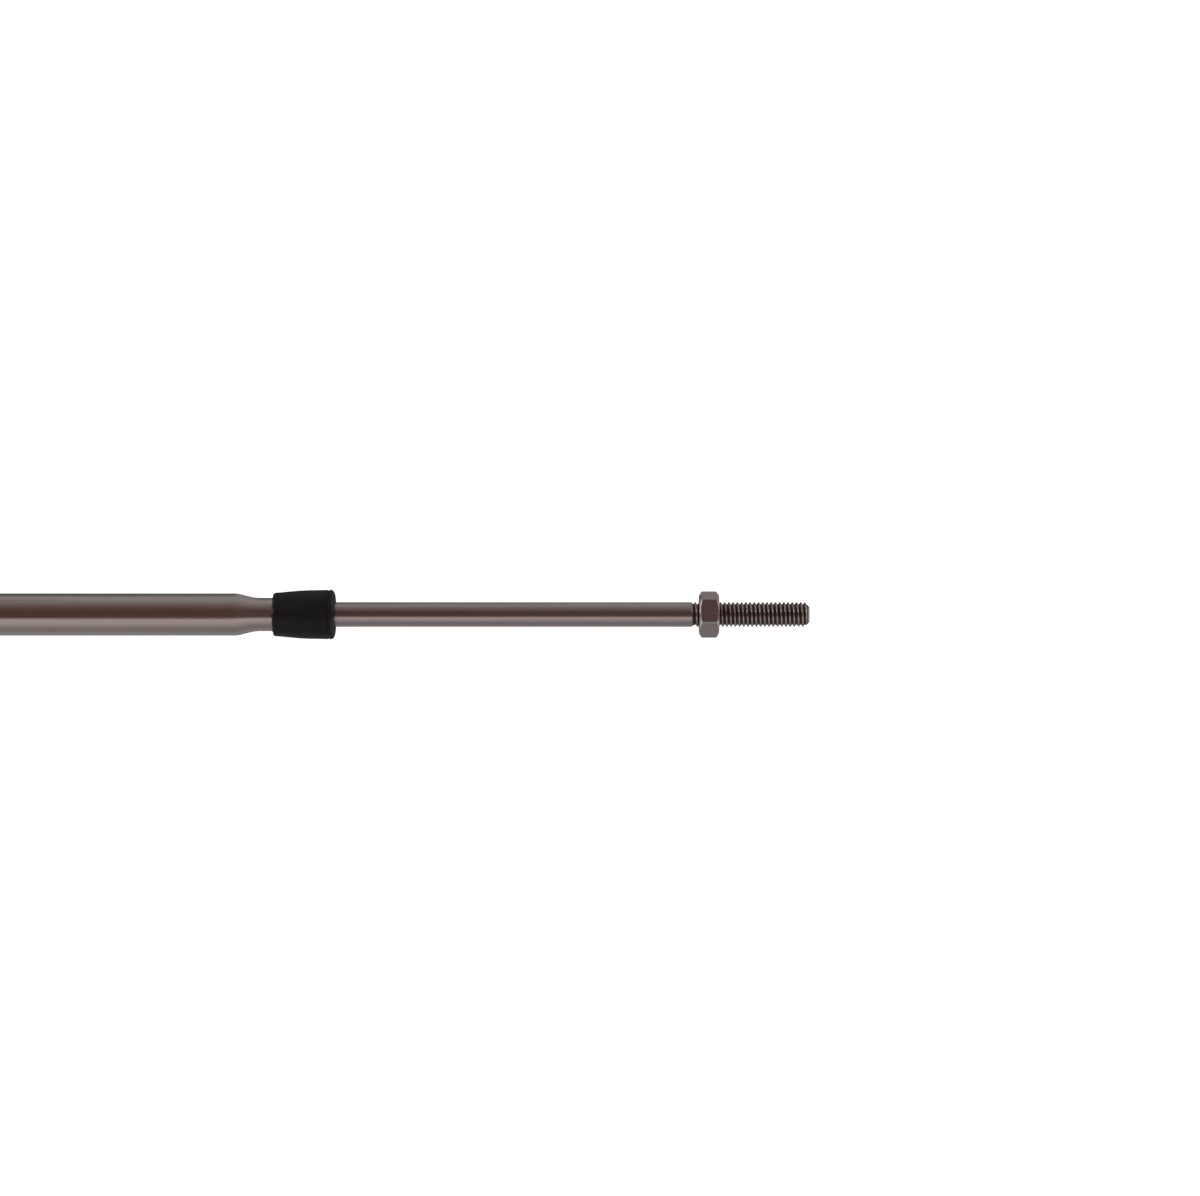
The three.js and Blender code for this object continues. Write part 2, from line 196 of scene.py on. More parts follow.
def closed_surface(grid, wrap=False):
    """Points, quads and triangles of a grid of points: rows along the piece, columns round it. Ends that
    don't wrap close in fans on their own middle points. Faces point outwards: where the sum of each
    triangle's a . (b x c), which is six times the volume, is negative, all of them are turned over."""
    rows, columns = grid.shape[:2]
    points = grid.reshape(-1, 3)
    quads = grid_faces(rows, columns, wrap)
    fans = np.empty((0, 3), int)
    if not wrap:
        points = np.vstack([points, grid[0].mean(axis=0), grid[-1].mean(axis=0)])
        fans = pole_fans(rows, columns)
    triangles = np.vstack([quads[:, [0, 1, 2]], quads[:, [0, 2, 3]], fans])
    a, b, c = (points[triangles[:, k]] for k in range(3))
    if np.einsum("ij,ij->", a, np.cross(b, c)) < 0:
        quads, fans = quads[:, ::-1], fans[:, ::-1]
    return points, quads, fans


def make_piece(name, parts, material, body, node=None, slot=None, sharp=35):
    """One object from several closed surfaces. It rides on a body and stands for its CAD node."""
    faces, first = [], 0
    for points, quads, fans in parts:
        faces += (quads + first).tolist() + (fans + first).tolist()
        first += len(points)
    mesh = bpy.data.meshes.new(name)
    mesh.from_pydata(np.vstack([part[0] for part in parts]).tolist(), [], faces)
    mesh.shade_smooth()
    mesh.set_sharp_from_angle(angle=math.radians(sharp))
    mesh.materials.append(material)
    piece = bpy.data.objects.new(name, mesh)
    bpy.context.collection.objects.link(piece)
    if body:
        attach(piece, body)
    if node:
        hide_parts(node)
    return piece


def rounded(profile, size, steps=4):
    """A polyline with each corner replaced by a quadratic curve that starts and ends size away from it, or
    nearly half way to the next corner where that is nearer."""
    points = np.array(profile, float)
    out = [points[:1]]
    for before, corner, after in zip(points[:-2], points[1:-1], points[2:], strict=True):
        into, away = before - corner, after - corner
        reach_in = min(size, 0.45 * np.linalg.norm(into))
        reach_out = min(size, 0.45 * np.linalg.norm(away))
        start = corner + into / np.linalg.norm(into) * reach_in
        end = corner + away / np.linalg.norm(away) * reach_out
        t = np.linspace(0, 1, steps + 1)[:, None]
        out.append((1 - t) ** 2 * start + 2 * t * (1 - t) * corner + t**2 * end)
    out.append(points[-1:])
    return np.vstack(out)


def rings(x, radius, axis):
    """Rings round the X axis through the point axis, with a row of radii for each x and a column for each
    angle a: y = r cos a and z = r sin a."""
    columns = radius.shape[1]
    angle = np.linspace(0, TURN, columns, endpoint=False)
    along = np.repeat(x[:, None], columns, axis=1) + axis[0]
    across = radius * np.cos(angle) + axis[1]
    above = radius * np.sin(angle) + axis[2]
    return np.stack([along, across, above], axis=-1)


def turned(profile, axis, columns=112):
    """A lathe surface round the X axis through the point axis, from a profile of (x, r)."""
    x, radius = np.asarray(profile, float).T
    return rings(x, np.repeat(radius[:, None], columns, axis=1), axis)


def arc_about(centre, radius, start, end, steps):
    """Points on an arc about (x, r), with angles from +X towards the outside."""
    angle = np.linspace(start, end, steps)
    return np.stack([centre[0] + radius * np.cos(angle), centre[1] + radius * np.sin(angle)], axis=-1)


def soft_least(a, b, blend):
    """The lesser of two fields, with a round fillet of about the blend's size where they cross."""
    share = np.clip(0.5 + 0.5 * (b - a) / blend, 0, 1)
    return b + (a - b) * share - blend * share * (1 - share)


def thread_radius(x, angle, major, minor):
    """Radius of a right-hand thread: the place in its turn is x / pitch - a / 2 pi, with a flat crest half
    way through it, straight flanks, and a round root."""
    place = np.mod(x / THREAD_PITCH - angle / TURN, 1)
    crest, root = 0.16, 0.16
    rise = (0.5 - root / 2 - np.abs(place - 0.5)) / (0.5 - root / 2 - crest / 2)
    rise = np.clip(rise, 0, 1)
    rise = rise - 0.03 * np.sin(TURN * rise)
    return minor + (major - minor) * rise


class End:
    """One of the cable's two ends, with its places along its own axis, from the ball's centre outwards."""

    def __init__(self, side):
        joint = next(j for j in frame["joints"] if j["name"] == f"{side}_swivel")
        self.side = side
        self.axis = np.array(joint["pos_m"], float)
        self.sleeve = f"{side}_sleeve"
        self.slider = f"{side}_slider"

    def span(self, part):
        """Where a CAD node starts and ends along the axis."""
        low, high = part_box(f"{self.side}_{part}")
        return low[0] - self.axis[0], high[0] - self.axis[0]

    def node(self, part):
        """The name of a CAD node of this end."""
        return f"{self.side}_{part}"


def thread_rings(end, shoulder, tip, columns):
    """The rod's threaded length: rings 1/20 of a pitch apart, whose radius is the thread's, held under its
    run-in at the shoulder and under a chamfer at the tip."""
    step = THREAD_PITCH / 20
    run_in_slope = 1.2
    x = np.arange(shoulder + step, tip, step)
    angle = np.linspace(0, TURN, columns, endpoint=False)
    radius = thread_radius(x[:, None] - shoulder, angle[None, :], THREAD_MAJOR, THREAD_MINOR)
    run_in = THREAD_MINOR + (x - shoulder)[:, None] * run_in_slope
    chamfer = THREAD_MAJOR - np.clip(x - (tip - TIP_CHAMFER), 0, None)[:, None]
    radius = soft_least(soft_least(radius, run_in, THREAD_SOFT), chamfer, THREAD_SOFT)
    return rings(x, radius, end.axis)


def rod_surface(end):
    """A bar of constant radius with chamfered ends, and its thread past the shoulder."""
    start, tip = end.span("rod")
    shoulder = tip - THREAD_LENGTH
    columns = 72
    centre = 0.3 * ROD_RADIUS
    plain = [
        (start, centre),
        (start, ROD_RADIUS - ROD_EDGE),
        (start + ROD_EDGE, ROD_RADIUS),
        (shoulder - ROD_EDGE, ROD_RADIUS),
        (shoulder, ROD_RADIUS - ROD_EDGE),
    ]
    bar = turned(rounded(plain, 0.12 * MM), end.axis, columns)
    nose = turned([(tip, THREAD_MAJOR - TIP_CHAMFER - THREAD_SOFT), (tip, centre)], end.axis, columns)
    return closed_surface(np.concatenate([bar, thread_rings(end, shoulder, tip, columns), nose]))


def hexagon_radius(angle):
    """Radius of the nut's flats: half their width / cos of the angle from the nearest flat's middle, with
    the edge to the next flat rounded."""
    sector = TURN / 6
    from_flat = np.mod(angle - TURN / 4 - NUT_TURN + sector / 2, sector) - sector / 2
    nearest = NUT_FLATS / np.cos(from_flat)
    beside = NUT_FLATS / np.cos(sector - np.abs(from_flat))
    return soft_least(nearest, beside, NUT_EDGE)


def nut_surface(end):
    """A hexagon with its corners turned off: the least, softly, of the flats' radius and of a 30 degree cone
    from each face. The bore has the thread's radius and a countersink at both ends."""
    back, front = end.span("nut")
    columns = 360
    rim = 4.5 * MM
    rim_edge = 0.12 * MM
    bore_gap = 0.05 * MM
    sink = THREAD_MAJOR + 0.25 * MM
    angle = np.linspace(0, TURN, columns, endpoint=False)
    x = back + (front - back) * (1 - np.cos(np.linspace(0, math.pi, 71))) / 2
    cone = rim + np.minimum(x - back, front - x)[:, None] / math.tan(math.radians(30))
    outside = soft_least(hexagon_radius(angle)[None, :], cone, rim_edge)
    inside_x = np.linspace(front, back, 64)
    countersink = np.maximum(sink - (front - inside_x), sink - (inside_x - back))[:, None]
    turns = inside_x[:, None] - (end.span("rod")[1] - THREAD_LENGTH)
    thread = thread_radius(turns, angle[None, :], THREAD_MAJOR + bore_gap, THREAD_MINOR + bore_gap)
    rims = np.array([rim - rim_edge, sink + 0.1 * MM])[:, None] * np.ones(columns)
    skins = [
        rings(x, outside, end.axis),
        rings(np.full(2, front), rims, end.axis),
        rings(inside_x, np.maximum(thread, countersink), end.axis),
        rings(np.full(2, back), rims[::-1], end.axis),
    ]
    return closed_surface(np.concatenate(skins), wrap=True)


def wiper_surface(end):
    """A turned sleeve that swells from its back rim to a lip and closes on the rod. Small scallops in the
    back rim are a cosine of fourteen waves."""
    back, front = end.span("wiper")
    mouth = end.span("tube")[1]
    grip = NECK_RADIUS + FIT / 2
    bore = ROD_RADIUS + FIT / 2
    columns = 144
    scallops, scallop_depth, scallop_reach = 14, 0.1 * MM, 1.5 * MM
    swell = [
        (0.25, 4.85),
        (0.6, 5.17),
        (2.0, 5.25),
        (3.5, 5.4),
        (6.4, 5.66),
        (8.8, 5.77),
        (11.2, 5.8),
        (12.9, 5.84),
        (13.3, 5.84),
        (13.5, 5.62),
        (13.7, 5.92),
        (14.1, 5.9),
        (14.5, 5.6),
    ]
    outside = [(back + along * MM, radius * MM) for along, radius in swell]
    nose = [
        (front - 0.05 * MM, 5.15 * MM),
        (front - 0.05 * MM, 4.75 * MM),
        (front - 0.45 * MM, 4.45 * MM),
        (front - 0.45 * MM, 3.75 * MM),
        (front, 3.4 * MM),
        (front, bore + 0.1 * MM),
        (front - 0.4 * MM, bore),
    ]
    inside = [(mouth + FIT, bore), (mouth + FIT, grip), (back + 0.25 * MM, grip)]
    profile = rounded([*outside, *nose, *inside], 0.2 * MM)
    grid = turned(profile, end.axis, columns)
    angle = np.linspace(0, TURN, columns, endpoint=False)
    near_back = np.clip(1 - (profile[:, 0] - back) / scallop_reach, 0, 1)[:, None]
    wave = 1 + np.cos(scallops * angle)
    grid[:, :, 0] += scallop_depth * near_back * wave * (profile[:, 1:] > grip)
    return closed_surface(grid, wrap=True)


def tube_surface(end):
    """A turned tube: ball and stem behind, the body, a rounded cone, and the neck that the rod slides in."""
    mouth = end.span("tube")[1]
    neck_start = mouth - NECK_LENGTH
    cone_start = neck_start - TUBE_CONE
    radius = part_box(end.node("tube"))[1][2] - end.axis[2]
    bore = radius - TUBE_WALL
    bore_back = STEM_LENGTH + STEM_CONE + TUBE_WALL
    slide = ROD_RADIUS + FIT / 2
    ball_start = math.pi - math.asin(STEM_BORE / BALL_RADIUS)
    ball_end = math.asin(STEM_RADIUS / BALL_RADIUS)
    ball = arc_about((0, 0), BALL_RADIUS, ball_start, ball_end, 24)
    shoulder = (cone_start, radius)
    foot = (neck_start, NECK_RADIUS)
    swell = [
        (STEM_LENGTH - 5 * MM, STEM_RADIUS),
        (STEM_LENGTH, STEM_RADIUS),
        (STEM_LENGTH + STEM_CONE, radius),
        (STEM_LENGTH + 15 * MM, radius),
    ]
    half_way = ((cone_start + neck_start) / 2, (radius + NECK_RADIUS) / 2)
    body = [(cone_start - 4 * MM, radius), shoulder, half_way]
    neck = [half_way, foot, (neck_start + 4 * MM, NECK_RADIUS)]
    lip = [(mouth - 3 * MM, NECK_RADIUS), (mouth, NECK_RADIUS), (mouth, slide)]
    outside = [
        rounded(swell, 1.5 * MM, 7),
        rounded(body, 0.5 * MM, 5),
        rounded(neck, 1.4 * MM, 7)[1:],
        rounded(lip, 0.2 * MM),
    ]
    inside = [
        (neck_start, slide),
        (cone_start, bore),
        (bore_back, bore),
        (STEM_LENGTH + TUBE_WALL, STEM_BORE),
    ]
    return closed_surface(turned(np.vstack([ball, *outside, inside]), end.axis, 128), wrap=True)


def crimp_rings(back, crimp_at, crimp):
    """Three shallow rings pressed in the hub's sleeve: half circles flattened to the ring's depth, evenly
    spaced between the sleeve's end and the flange."""
    count, width, depth = 3, 2.4 * MM, 0.5 * MM
    free = crimp_at - back - count * width
    points = []
    for number in range(count):
        at = back + free / (count + 1) * (number + 1) + width * number
        ring = arc_about((at + width / 2, crimp), width / 2, math.pi, TURN, 9)
        ring[:, 1] = crimp + (ring[:, 1] - crimp) * depth / (width / 2)
        points += ring.tolist()
    return points


def hub_surface(end):
    """A turned hub: a socket round the ball, a flange with a clamp groove, and a sleeve with crimp rings."""
    back = end.span("hub")[0]
    socket, shell, lip = BALL_RADIUS + FIT, 6.3 * MM, 3 * MM
    core, seat, seat_front = 2.6 * MM, CONDUIT / 2 + 0.05 * MM, -14 * MM
    crimp, crimp_at = 6.9 * MM, -20 * MM
    flange, flange_edge, flange_front = 7.5 * MM, 0.7 * MM, -2 * MM
    groove, groove_back, groove_front = 6.2 * MM, -13 * MM, -9 * MM
    edge = 0.8 * MM
    outside = [
        (back, seat),
        (back, crimp - edge),
        (back + edge, crimp),
        *crimp_rings(back, crimp_at, crimp),
        (crimp_at, crimp),
        (crimp_at, flange - flange_edge),
        (crimp_at + flange_edge, flange),
        (groove_back, flange),
        (groove_back, groove),
        (groove_front, groove),
        (groove_front, flange),
        (flange_front - edge, flange),
        (flange_front, flange - edge),
        (flange_front, shell),
        (0, shell),
    ]
    dome = arc_about((0, 0), shell, math.pi / 2, math.acos(lip / shell), 8)[1:]
    cup = arc_about((0, 0), socket, math.acos(lip / socket), math.pi - math.asin(core / socket), 24)
    inside = [(seat_front, core), (seat_front, seat)]
    profile = np.vstack([rounded(outside, 0.25 * MM), dome, cup, inside])
    return closed_surface(turned(profile, end.axis, 112), wrap=True)


def boot_surface(end):
    """A rubber bellows: outside, a taper with a raised cosine of folds on it; inside, a sphere about the ball
    behind and the same wave a wall's thickness lower in front."""
    back, front = end.span("boot")
    wall = 0.8 * MM
    clear, skin = 6.55 * MM, 7.38 * MM
    cuff, cuff_length, bead = 5.1 * MM, 4.6 * MM, 0.2 * MM
    folds = 4
    start, finish = 2.2 * MM, front - cuff_length
    x = np.linspace(start, finish, 90)
    share = (x - start) / (finish - start)
    brim = math.sqrt(skin**2 - start**2)
    crown = brim + (cuff + wall + 0.35 * MM - brim) * share
    wave = (0.5 - 0.5 * np.cos(TURN * folds * share)) * (0.95 - 0.45 * share) * MM
    folded = np.maximum(crown - wave, cuff + wall)
    outer = np.stack([x, folded], axis=-1)
    lower = np.stack([x[::-1], (folded - wall)[::-1]], axis=-1)
    lower = lower[lower[:, 0] > 4.2 * MM]
    ball_outside = arc_about((0, 0), skin, math.acos(back / skin), math.acos(start / skin) + 0.04, 12)
    ball_inside = arc_about((0, 0), clear, math.acos(4.0 * MM / clear), math.acos(back / clear), 12)
    cuff_end = [
        (finish, cuff + wall),
        (finish + 0.5 * MM, cuff + wall + bead),
        (front - 0.4 * MM, cuff + wall + bead),
        (front, cuff + wall - bead),
        (front, cuff),
        (finish, cuff),
    ]
    cuff_end = rounded(cuff_end, 0.2 * MM)
    rim = [(back - 0.05 * MM, (skin + clear) / 2)]
    profile = np.vstack([ball_outside, outer, cuff_end[1:], lower, ball_inside, rim])
    return closed_surface(turned(profile, end.axis, 112), wrap=True)


def smooth_line(points, spacing):
    """A Catmull-Rom curve through the points, resampled at even spacing by its arc length."""
    points = np.array(points, float)
    padded = np.vstack([2 * points[0] - points[1], points, 2 * points[-1] - points[-2]])
    p0, p1, p2, p3 = (padded[k : k + len(points) - 1] for k in range(4))
    t = np.linspace(0, 1, 24, endpoint=False)[None, :, None]
    p0, p1, p2, p3 = (p[:, None, :] for p in (p0, p1, p2, p3))
    curve = 0.5 * (
        2 * p1 + (p2 - p0) * t + (2 * p0 - 5 * p1 + 4 * p2 - p3) * t**2 + (3 * p1 - p0 - 3 * p2 + p3) * t**3
    )
    curve = np.vstack([curve.reshape(-1, 3), points[-1:]])
    along = np.concatenate([[0], np.cumsum(np.linalg.norm(np.diff(curve, axis=0), axis=1))])
    even = np.linspace(0, along[-1], int(along[-1] / spacing) + 1)
    return np.stack([np.interp(even, along, curve[:, k]) for k in range(3)], axis=-1)


def half_turn(x, start_y, end_y, leftwards, steps=14):
    """A half circle in the hank's plane between two lanes, bulging to the left or to the right."""
    angle = np.linspace(0, math.pi, steps)[1:-1]
    middle, radius = (start_y + end_y) / 2, (end_y - start_y) / 2
    side = -1 if leftwards else 1
    across = x + side * abs(radius) * np.sin(angle)
    return np.stack([across, middle - radius * np.cos(angle), np.full_like(angle, LANE_HEIGHT)], axis=-1)


def hank_route():
    """The turns of the hank, from the near lead inwards: out along a lane, round a half circle, back along
    the lane across, and round the other end into the next lane. The last lane ends where the climb starts."""
    left = HANK_RIGHT - HANK_RUN
    points = []
    for lane in range(LANES):
        near_y = lane * LANE_PITCH
        far_y = 2 * OUTER_TURN - near_y
        last = lane == LANES - 1
        stop = left + CLIMB_RUN if last else left
        for x in np.linspace(HANK_RIGHT, stop, 6)[0 if lane else 1 :]:
            points.append((x, near_y, LANE_HEIGHT))
        if last:
            break
        points += half_turn(left, near_y, far_y, True).tolist()
        for x in np.linspace(left, HANK_RIGHT, 6):
            points.append((x, far_y, LANE_HEIGHT))
        points += half_turn(HANK_RIGHT, far_y, near_y + LANE_PITCH, False).tolist()
    return points


def conduit_line():
    """The conduit's whole centreline, from inside the near hub to inside the far one."""
    leads = [(np.array(lead, float) * MM).tolist() for lead in (NEAR_LEAD, FAR_LEAD)]
    return smooth_line([*leads[0], *hank_route(), *leads[1]], STATION)


def section_ring():
    """The conduit's round section as unit steps: cos a to the side and sin a up."""
    angle = np.linspace(0, TURN, CONDUIT_SIDES, endpoint=False)
    return np.cos(angle)[None, :, None], np.sin(angle)[None, :, None]


def conduit_surface(line):
    """A round section carried along a line: each ring stands square to it, with its first point level."""
    ahead = np.gradient(line, axis=0)
    ahead /= np.linalg.norm(ahead, axis=1, keepdims=True)
    level = np.cross([0, 0, 1], ahead)
    level /= np.linalg.norm(level, axis=1, keepdims=True)
    up = np.cross(ahead, level)
    cosine, sine = section_ring()
    ring = level[:, None, :] * cosine + up[:, None, :] * sine
    return closed_surface(line[:, None, :] + ring * CONDUIT / 2)


def lay_along(mesh, line):
    """Gives each point of the conduit its place on the straight cable: metres along, then side and up."""
    steps = np.linalg.norm(np.diff(line, axis=0), axis=1)
    along = np.concatenate([[0], np.cumsum(steps)])[:, None, None]
    cosine, sine = section_ring()
    shape = (len(line), CONDUIT_SIDES, 1)
    parts = [np.broadcast_to(part, shape) for part in (along, cosine * CONDUIT / 2, sine * CONDUIT / 2)]
    lay = np.concatenate(parts, axis=-1).reshape(-1, 3)
    poles = [[0, 0, 0], [along[-1, 0, 0], 0, 0]]
    lay = np.vstack([lay, poles]).astype(np.float32)
    mesh.attributes.new("lay", "FLOAT_VECTOR", "POINT").data.foreach_set("vector", lay.ravel())


def band_round(x, circles, width, gap, thickness):
    """A tie's band: a rounded strip section carried round the hull of circles (y, z, r). In each direction n
    the hull's point is c + (r + t) n of the circle that reaches furthest that way."""
    angle = np.linspace(0, TURN, 144, endpoint=False)
    normal = np.stack([np.cos(angle), np.sin(angle)], axis=-1)
    centres = np.array([circle[:2] for circle in circles])
    radii = np.array([circle[2] for circle in circles])
    furthest = (centres @ normal.T + radii[:, None]).argmax(axis=0)
    half, low, high = width / 2, gap, gap + thickness
    edge = 0.25 * MM
    corners = [(half - edge, low), (half, low + edge), (half, high - edge), (half - edge, high)]
    section = rounded([(0, low), *corners, (0, high)], edge, 3)
    section = np.vstack([section, (section * [-1, 1])[::-1][1:-1]])
    reach = radii[furthest][None, :, None] + section[:, 1][:, None, None]
    place = centres[furthest][None] + reach * normal[None]
    along = np.repeat((section[:, 0] + x)[:, None, None], len(angle), axis=1)
    return closed_surface(np.concatenate([along, place], axis=-1), wrap=True)


def rounded_block(centre, half_sizes, power=0.22, rows=28, columns=48):
    """A block with round edges: a sphere's sines and cosines, each raised to a small power with its sign."""

    def swell(wave):
        return np.sign(wave) * np.abs(wave) ** power

    rise = np.linspace(-math.pi / 2, math.pi / 2, rows)[1:-1, None]
    angle = np.linspace(0, TURN, columns, endpoint=False)[None, :]
    x = swell(np.cos(rise)) * swell(np.cos(angle))
    y = swell(np.cos(rise)) * swell(np.sin(angle))
    z = np.repeat(swell(np.sin(rise)), columns, axis=1)
    return closed_surface(np.stack([x, y, z], axis=-1) * half_sizes + centre)


def make_ties(nylon):
    """Ties round the lanes of the hank, and round the lead and the far hub on top of it. Each has a head on
    its highest point, and its cut tail stands out of the head."""
    width, gap, thickness = 4.8 * MM, 0.15 * MM, 1.2 * MM
    head_below_top = 3.4 * MM
    head_size = np.array([3.2, 3, 1.8]) * MM
    tail_size = np.array([2.3, 2.6, 0.55]) * MM
    near_lanes = [(lane * LANE_PITCH, LANE_HEIGHT, CONDUIT / 2) for lane in range(LANES)]
    far_lanes = [(2 * OUTER_TURN - y, z, radius) for y, z, radius in near_lanes[:-1]]
    axis = far_end.axis
    on_top = {"hank_tie_3": 6.9 * MM, "hank_tie_4": CONDUIT / 2}
    ties = []
    for number in range(1, 5):
        node = f"hank_tie_{number}"
        low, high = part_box(node)
        x = (low[0] + high[0]) / 2
        circles = near_lanes
        if node in on_top:
            circles = [*far_lanes, (axis[1], axis[2], on_top[node])]
        top = high[2] - head_below_top
        middle = axis[1] if node in on_top else (circles[0][0] + circles[-1][0]) / 2
        head = rounded_block((x, middle, top + 1.6 * MM), head_size)
        tail = rounded_block((x, middle + 4.6 * MM, top + 1.5 * MM), tail_size, 0.15)
        band = band_round(x, circles, width, gap, thickness)
        ties.append(make_piece(f"tie_{number}", [band, head, tail], nylon, "cable", node, "tie_nylon", 50))
    return ties


class Wire:
    """A shader socket with arithmetic: an expression on wires adds the Math nodes that work it out."""

    def __init__(self, tree, socket):
        self.tree = tree
        self.socket = socket

    def math(self, operation, *others):
        return self.tree.add("ShaderNodeMath", {"operation": operation}, [self, *others])

    def __add__(self, other):
        return self.math("ADD", other)

    def __sub__(self, other):
        return self.math("SUBTRACT", other)

    def __rsub__(self, other):
        return self.tree.add("ShaderNodeMath", {"operation": "SUBTRACT"}, [other, self])

    def __mul__(self, other):
        return self.math("MULTIPLY", other)

    __radd__ = __add__
    __rmul__ = __mul__

    def between(self, low, high, start=0.0, end=1.0):
        """Smooth step of this value from low to high, mapped from start to end."""
        settings = {"interpolation_type": "SMOOTHSTEP"}
        return self.tree.add("ShaderNodeMapRange", settings, [self, low, high, start, end])


class Tree:
    """A node tree of a material or of the world, with one method that adds any node."""

    def __init__(self, owner):
        owner.use_nodes = True
        self.nodes = owner.node_tree.nodes
        self.links = owner.node_tree.links
        self.nodes.clear()

    def add(self, kind, settings, values=(), output=0):
        """Adds a node, sets its settings, then joins or sets its inputs, by place or by name."""
        node = self.nodes.new(kind)
        for key, value in settings.items():
            setattr(node, key, value)
        pairs = values.items() if isinstance(values, dict) else enumerate(values)
        for key, value in pairs:
            if isinstance(value, Wire):
                self.links.new(value.socket, node.inputs[key])
            else:
                node.inputs[key].default_value = value
        return Wire(self, node.outputs[output]) if node.outputs else node

    def mix(self, share, first, second):
        """Colour that goes from first to second with share."""
        return self.add("ShaderNodeMix", {"data_type": "RGBA"}, {0: share, 6: first, 7: second}, 2)

    def split(self, vector):
        """The three coordinates of a vector."""
        node = self.nodes.new("ShaderNodeSeparateXYZ")
        self.links.new(vector.socket, node.inputs[0])
        return [Wire(self, socket) for socket in node.outputs]

    def object_place(self):
        """Object coordinates."""
        return self.add("ShaderNodeTexCoord", {}, (), 3)

    def object_noise(self, scales, detail=3.0, roughness=0.5):
        """Noise in object coordinates, with its own scale along each axis."""
        place = self.add("ShaderNodeMapping", {}, {"Vector": self.object_place(), "Scale": scales})
        return self.noise(place, detail, roughness)

    def lay_noise(self, scales, detail=3.0, roughness=0.5):
        """Noise by the place on the straight cable that lay_along gave the piece."""
        lay = self.add("ShaderNodeAttribute", {"attribute_name": "lay"}, (), 1)
        place = self.add("ShaderNodeMapping", {}, {"Vector": lay, "Scale": scales})
        return self.noise(place, detail, roughness)

    def noise(self, place, detail, roughness):
        values = {"Vector": place, "Scale": 1.0, "Detail": detail, "Roughness": roughness}
        return self.add("ShaderNodeTexNoise", {}, values)

    def bump(self, height, strength, distance):
        values = {"Height": height, "Strength": strength, "Distance": distance}
        return self.add("ShaderNodeBump", {}, values)

    def surface(self, values):
        """A Principled shader with these inputs, on the material's output."""
        self.add("ShaderNodeOutputMaterial", {}, [self.add("ShaderNodeBsdfPrincipled", {}, values)])


def colour(red, green, blue):
    return (red, green, blue, 1.0)


def steel_material(name, tone, rough, streak=1.0):
    """Drawn or turned stainless steel: a warm grey metal with fine marks along the piece, wider soft bands of
    tone, and small stains, all from noise that is stretched along X."""
    material = bpy.data.materials.new(name)
    tree = Tree(material)
    fine = tree.object_noise(DRAWN_MARKS, 4.0, 0.6)
    bands = tree.object_noise((14, 420, 420), 2.0)
    stains = tree.object_noise(SMALL_STAINS, 5.0, 0.62)
    grain = tree.object_noise((2400, 2400, 2400), 2.0)
    stain = stains.between(0.56, 0.75)
    darker = [0.84 * t for t in tone]
    lighter = [1.08 * t for t in tone]
    brown = (tone[0] * 0.86, tone[1] * 0.76, tone[2] * 0.68)
    base = tree.mix(bands.between(0.3, 0.7) * (0.55 * streak), colour(*tone), colour(*darker))
    base = tree.mix(stain * 0.5, base, colour(*brown))
    base = tree.mix(fine.between(0.35, 0.65) * (0.10 * streak), base, colour(*lighter))
    roughness = rough + fine.between(0.3, 0.7) * (0.05 * streak) + stain * 0.10
    normal = tree.bump(fine * 0.7 + grain * 0.3, 0.12 * streak, 0.02 * MM)
    tree.surface({"Base Color": base, "Metallic": 1.0, "Roughness": roughness, "Normal": normal})
    return material


def thread_steel(name, tone, rough):
    """The rod's steel, with painted shade in the thread's roots: dark brown where the distance from the axis,
    the root of y squared + z squared about the nearer end's axis, is near the root radius."""
    material = bpy.data.materials.new(name)
    tree = Tree(material)
    _, y, z = tree.split(tree.object_place())

    def distance(end):
        across, above = y - float(end.axis[1]), z - float(end.axis[2])
        return (across * across + above * above).math("POWER", 0.5)

    radius = distance(near_end).math("MINIMUM", distance(far_end))
    root = radius.between(THREAD_MINOR, THREAD_MINOR + 0.42 * MM, 1.0, 0.0)
    outside_core = radius.between(THREAD_MINOR - 0.5 * MM, THREAD_MINOR - 0.1 * MM)
    # Painted shade: a mask of the thread's roots, where the colour below is darkened
    root_shade = root * outside_core
    fine = tree.object_noise(DRAWN_MARKS, 4.0, 0.6)
    stain = tree.object_noise((160, 300, 300), 5.0, 0.62).between(0.55, 0.75)
    darker = [0.88 * t for t in tone]
    brown = (tone[0] * 0.86, tone[1] * 0.77, tone[2] * 0.7)
    base = tree.mix(fine.between(0.3, 0.7) * 0.4, colour(*tone), colour(*darker))
    base = tree.mix(stain * 0.45, base, colour(*brown))
    # Painted shade: the thread's roots turned dark brown, and made rougher too
    base = tree.mix(root_shade * 0.9, base, colour(0.09, 0.062, 0.045))
    roughness = rough + fine.between(0.3, 0.7) * 0.05 + stain * 0.1 + root_shade * 0.25
    normal = tree.bump(fine, 0.1, 0.02 * MM)
    tree.surface({"Base Color": base, "Metallic": 1.0, "Roughness": roughness, "Normal": normal})
    return material


def rubber_material(name, dust=1.0):
    """Matt black moulded rubber: a fine pebbled skin, grey bloom in soft patches, and moulding marks."""
    material = bpy.data.materials.new(name)
    tree = Tree(material)
    pebble = tree.object_noise((1500, 1500, 1500), 3.0, 0.6)
    bloom = tree.object_noise((120, 240, 240), 4.0, 0.6)
    marks = tree.object_noise((900, 90, 90), 3.0, 0.55)
    patch = bloom.between(0.4, 0.75) * dust
    base = tree.mix(patch * 0.6, colour(0.0034, 0.0036, 0.005), colour(0.0085, 0.0088, 0.0115))
    base = tree.mix(pebble.between(0.6, 0.8) * 0.25, base, colour(0.018, 0.018, 0.02))
    roughness = 0.42 + patch * 0.14 + pebble * 0.06
    normal = tree.bump(pebble * 0.75 + marks * 0.25, 0.35, 0.06 * MM)
    tree.surface({"Base Color": base, "Roughness": roughness, "Normal": normal, "Specular IOR Level": 0.36})
    return material


